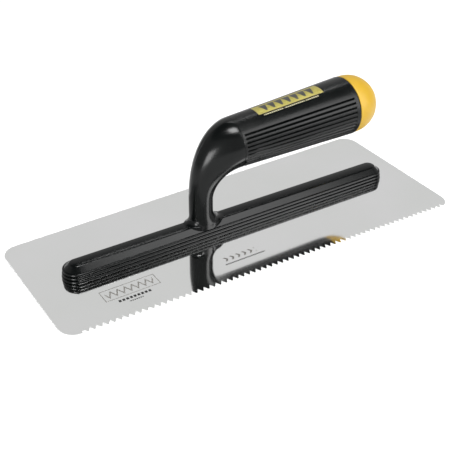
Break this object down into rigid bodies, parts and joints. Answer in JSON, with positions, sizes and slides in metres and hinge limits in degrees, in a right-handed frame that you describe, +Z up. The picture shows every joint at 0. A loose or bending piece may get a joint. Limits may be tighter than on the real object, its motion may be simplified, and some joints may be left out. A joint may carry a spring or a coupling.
{
  "type": "notched trowel",
  "caption": "Notched trowel with a V-notched spring-steel blade, a moulded mounting with a gooseneck, a ribbed grip and a domed end cap.",
  "frame": {"origin": "middle of the blade's underside", "axes": "+X along the blade from the toe to the heel under the end cap, -Y towards the notched edge, +Z up out of the blade through the grip"},
  "size_m": [0.28, 0.1134, 0.0836],
  "materials": {
    "blade_steel": "mirror polished stainless spring steel",
    "stud_steel": "plain steel",
    "black_moulding": "glossy black moulded plastic",
    "black_grip": "satin black moulded plastic with lengthwise ribs",
    "gold_foil": "gold printed film",
    "yellow_cap": "satin yellow moulded plastic",
    "screw_steel": "blackened steel",
    "zinc_steel": "zinc plated steel",
    "insert_brass": "turned brass"
  },
  "bodies": {
    "root": {"blade": "blade_steel", "weld_studs": "stud_steel", "mounting": "black_moulding", "grip_sleeve": "black_grip", "grip_label": "gold_foil", "end_cap": "yellow_cap", "grip_screw": "screw_steel", "screw_washer": "zinc_steel", "tang_insert": "insert_brass"}
  },
  "joints": []
}
